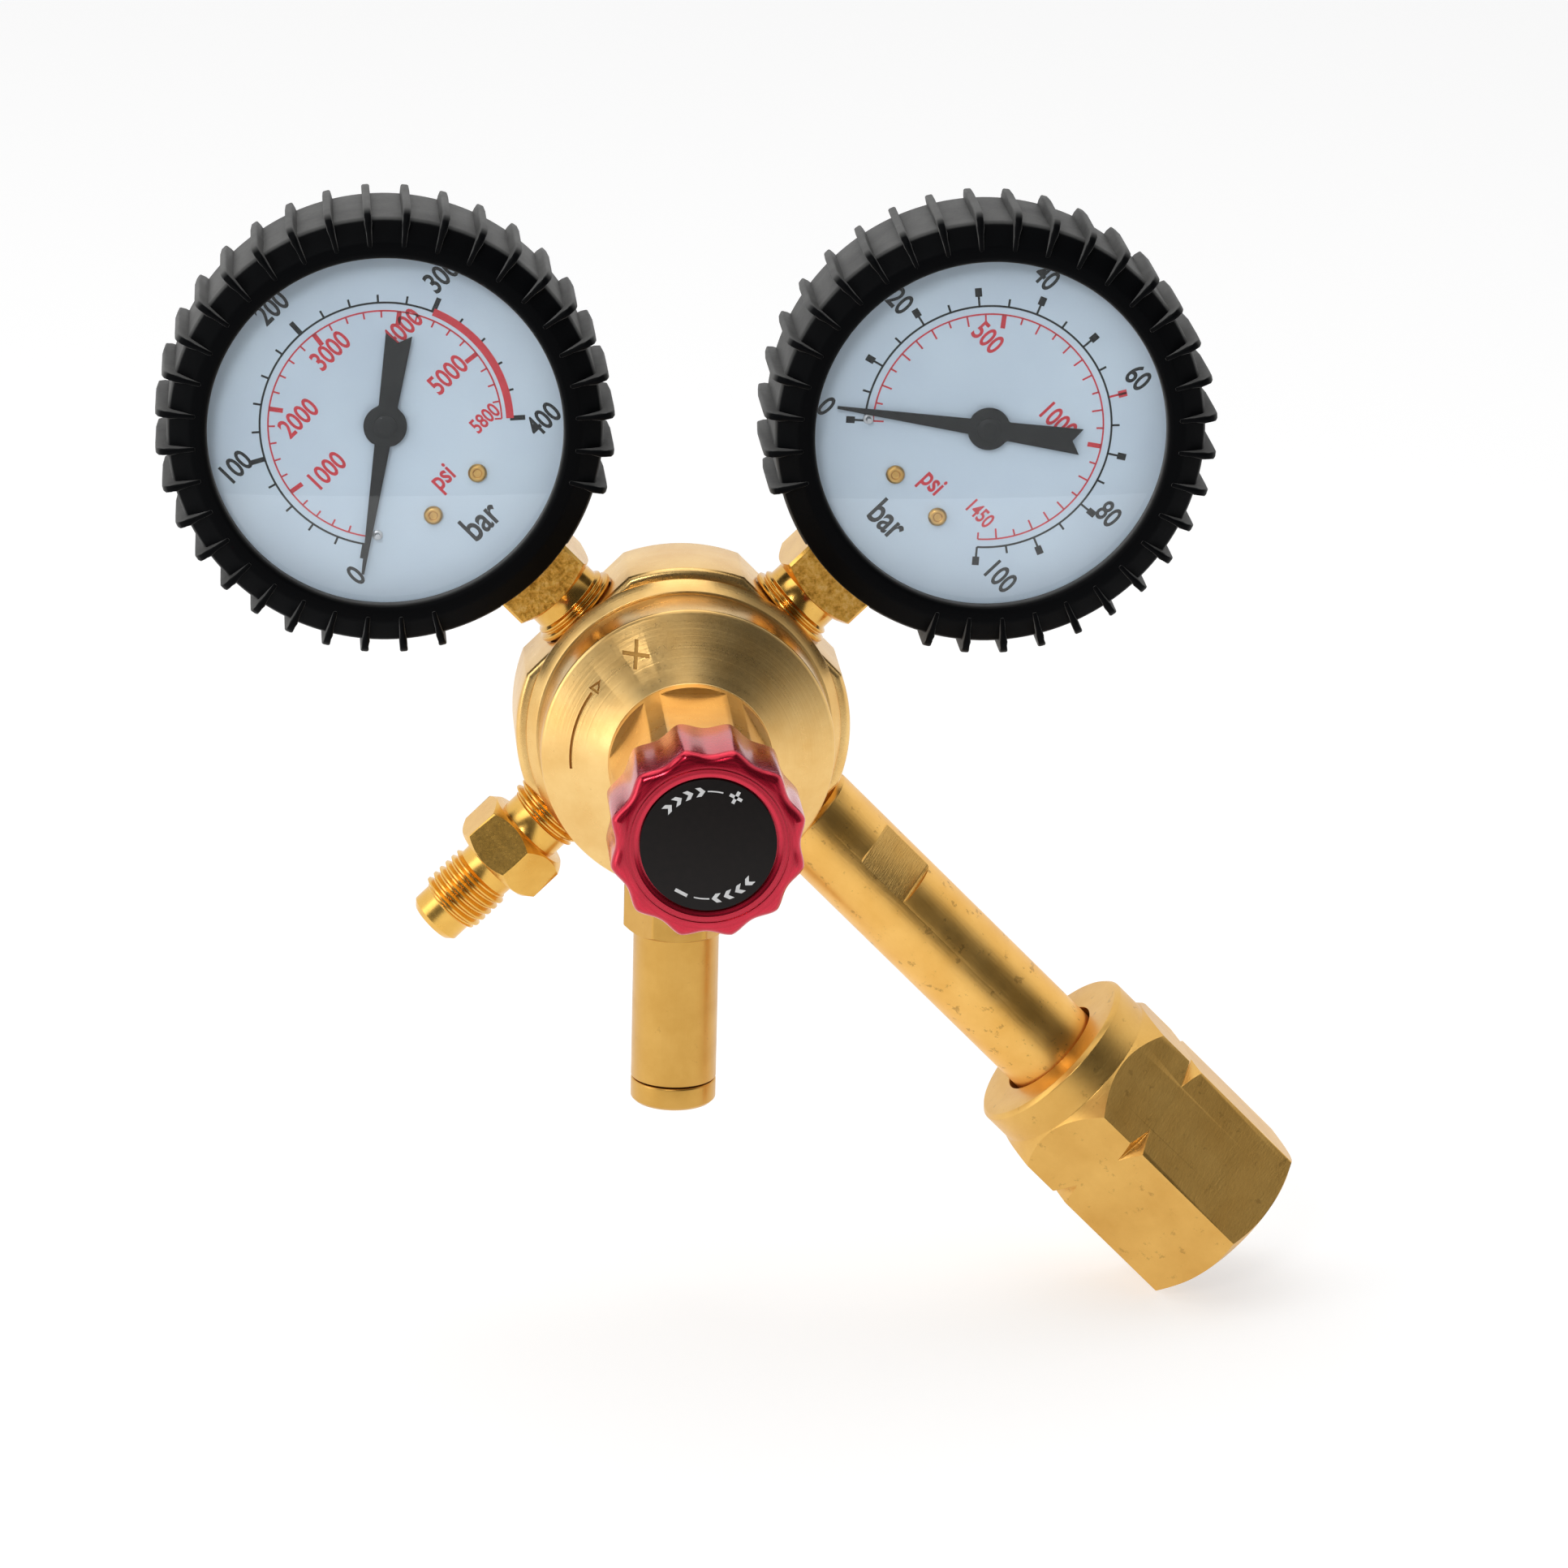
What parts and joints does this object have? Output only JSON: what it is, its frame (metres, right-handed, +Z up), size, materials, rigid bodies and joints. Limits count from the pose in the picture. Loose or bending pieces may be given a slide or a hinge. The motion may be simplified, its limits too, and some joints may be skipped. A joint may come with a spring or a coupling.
{
  "type": "gas pressure regulator",
  "caption": "Brass cylinder pressure regulator with a red adjusting knob, rubber-booted inlet and outlet gauges, a long inlet stem with a swivel nut, a relief valve and a threaded outlet",
  "frame": {"origin": "centre of the body's flat back face, on the knob's axis", "axes": "+Z up, +Y away from a viewer who looks at the dials, +X to that viewer's right"},
  "size_m": [0.1878, 0.0864, 0.1838],
  "materials": {
    "satin_brass": "satin, turned",
    "bright_brass": "bright, machined",
    "steel": "plain steel",
    "case_steel": "black enamel",
    "bronze": "sintered or plain bronze",
    "black_rubber": "matte, slightly dusty",
    "diaphragm_rubber": "fabric-backed sheet",
    "red_anodised": "red anodised, satin",
    "label_black": "near-black printed label",
    "dial_white": "matte white with printed scale",
    "pointer_black": "matte black",
    "clear_window": "clear, bevelled edge",
    "white_nylon": "natural nylon"
  },
  "bodies": {
    "root": {"adjusting_spring": "steel", "body": "satin_brass", "bonnet": "satin_brass", "contents_boot": "black_rubber", "contents_bourdon_tube": "bright_brass", "contents_case": "case_steel", "contents_dial": "dial_white", "contents_dial_rivet_left": "bright_brass", "contents_dial_rivet_right": "bright_brass", "contents_lens": "clear_window", "contents_movement": "bright_brass", "contents_socket": "satin_brass", "contents_vent_plug": "black_rubber", "diaphragm": "diaphragm_rubber", "inlet_filter": "bronze", "inlet_gasket": "white_nylon", "inlet_stem": "satin_brass", "outlet_fitting": "bright_brass", "poppet_spring": "steel", "relief_body": "satin_brass", "relief_cap": "satin_brass", "relief_spring": "steel", "slip_ring": "steel", "valve_seat": "bright_brass", "working_boot": "black_rubber", "working_bourdon_tube": "bright_brass", "working_case": "case_steel", "working_dial": "dial_white", "working_dial_rivet_left": "bright_brass", "working_dial_rivet_right": "bright_brass", "working_lens": "clear_window", "working_movement": "bright_brass", "working_socket": "satin_brass", "working_vent_plug": "black_rubber"},
    "knob": {"knob": "red_anodised", "knob_label": "label_black", "adjusting_screw": "steel"},
    "adjuster": {"spring_button": "steel"},
    "valve": {"diaphragm_plate": "steel", "poppet": "steel"},
    "relief_valve": {"relief_poppet": "bronze"},
    "swivel_nut": {"inlet_nut": "satin_brass"},
    "contents_sector_arm": {"contents_sector": "bright_brass"},
    "contents_link_bar": {"contents_link": "steel"},
    "contents_needle": {"contents_pointer": "pointer_black", "contents_pinion": "bright_brass"},
    "working_sector_arm": {"working_sector": "bright_brass"},
    "working_link_bar": {"working_link": "steel"},
    "working_needle": {"working_pointer": "pointer_black", "working_pinion": "bright_brass"}
  },
  "joints": [
    {"name": "button_slide", "type": "slide", "parent": "root", "child": "adjuster", "axis": [0, 1, 0], "range_m": [0, 0.005], "deforming": ["adjusting_spring"]},
    {"name": "knob_turn", "type": "hinge", "parent": "adjuster", "child": "knob", "pos_m": [0, -0.07, 0], "axis": [0, 1, 0], "range_deg": [0, 1800]},
    {"name": "valve_lift", "type": "slide", "parent": "root", "child": "valve", "axis": [0, 1, 0], "range_m": [0, 0.0006], "stiffness_N_per_m": 4000, "deforming": ["diaphragm", "poppet_spring"]},
    {"name": "relief_lift", "type": "slide", "parent": "root", "child": "relief_valve", "axis": [0, 0, -1], "range_m": [0, 0.0012], "stiffness_N_per_m": 2000, "deforming": ["relief_spring"]},
    {"name": "nut_swivel", "type": "hinge", "parent": "root", "child": "swivel_nut", "pos_m": [0.07708, -0.008, -0.07212], "axis": [0.7071, 0, -0.7071], "continuous": true},
    {"name": "contents_sector_turn", "type": "hinge", "parent": "root", "child": "contents_sector_arm", "pos_m": [-0.03804, -0.008, 0.03904], "axis": [0, -1, 0], "range_deg": [0, 36.86], "stiffness_Nm_per_rad": 0.01, "deforming": ["contents_bourdon_tube"]},
    {"name": "contents_link_turn", "type": "hinge", "parent": "contents_sector_arm", "child": "contents_link_bar", "pos_m": [-0.03356, -0.008, 0.04126], "axis": [0, -1, 0], "range_deg": [-38, 0]},
    {"name": "contents_pointer_turn", "type": "hinge", "parent": "root", "child": "contents_needle", "pos_m": [-0.04822, -0.008, 0.04922], "axis": [0, -1, 0], "range_deg": [-266, 0]},
    {"name": "working_sector_turn", "type": "hinge", "parent": "root", "child": "working_sector_arm", "pos_m": [0.03804, -0.008, 0.03904], "axis": [0, -1, 0], "range_deg": [0, 37.86], "stiffness_Nm_per_rad": 0.01, "deforming": ["working_bourdon_tube"]},
    {"name": "working_link_turn", "type": "hinge", "parent": "working_sector_arm", "child": "working_link_bar", "pos_m": [0.04026, -0.008, 0.03456], "axis": [0, -1, 0], "range_deg": [-38, 0]},
    {"name": "working_pointer_turn", "type": "hinge", "parent": "root", "child": "working_needle", "pos_m": [0.04822, -0.008, 0.04922], "axis": [0, -1, 0], "range_deg": [-266, 0]}
  ],
  "couplings": [
    {"joint": "button_slide", "follows": "knob_turn", "m_per_rad": 0.00015915},
    {"joint": "contents_link_turn", "follows": "contents_sector_turn", "ratio": -1},
    {"joint": "contents_pointer_turn", "follows": "contents_sector_turn", "ratio": -7},
    {"joint": "working_link_turn", "follows": "working_sector_turn", "ratio": -1},
    {"joint": "working_pointer_turn", "follows": "working_sector_turn", "ratio": -7}
  ]
}
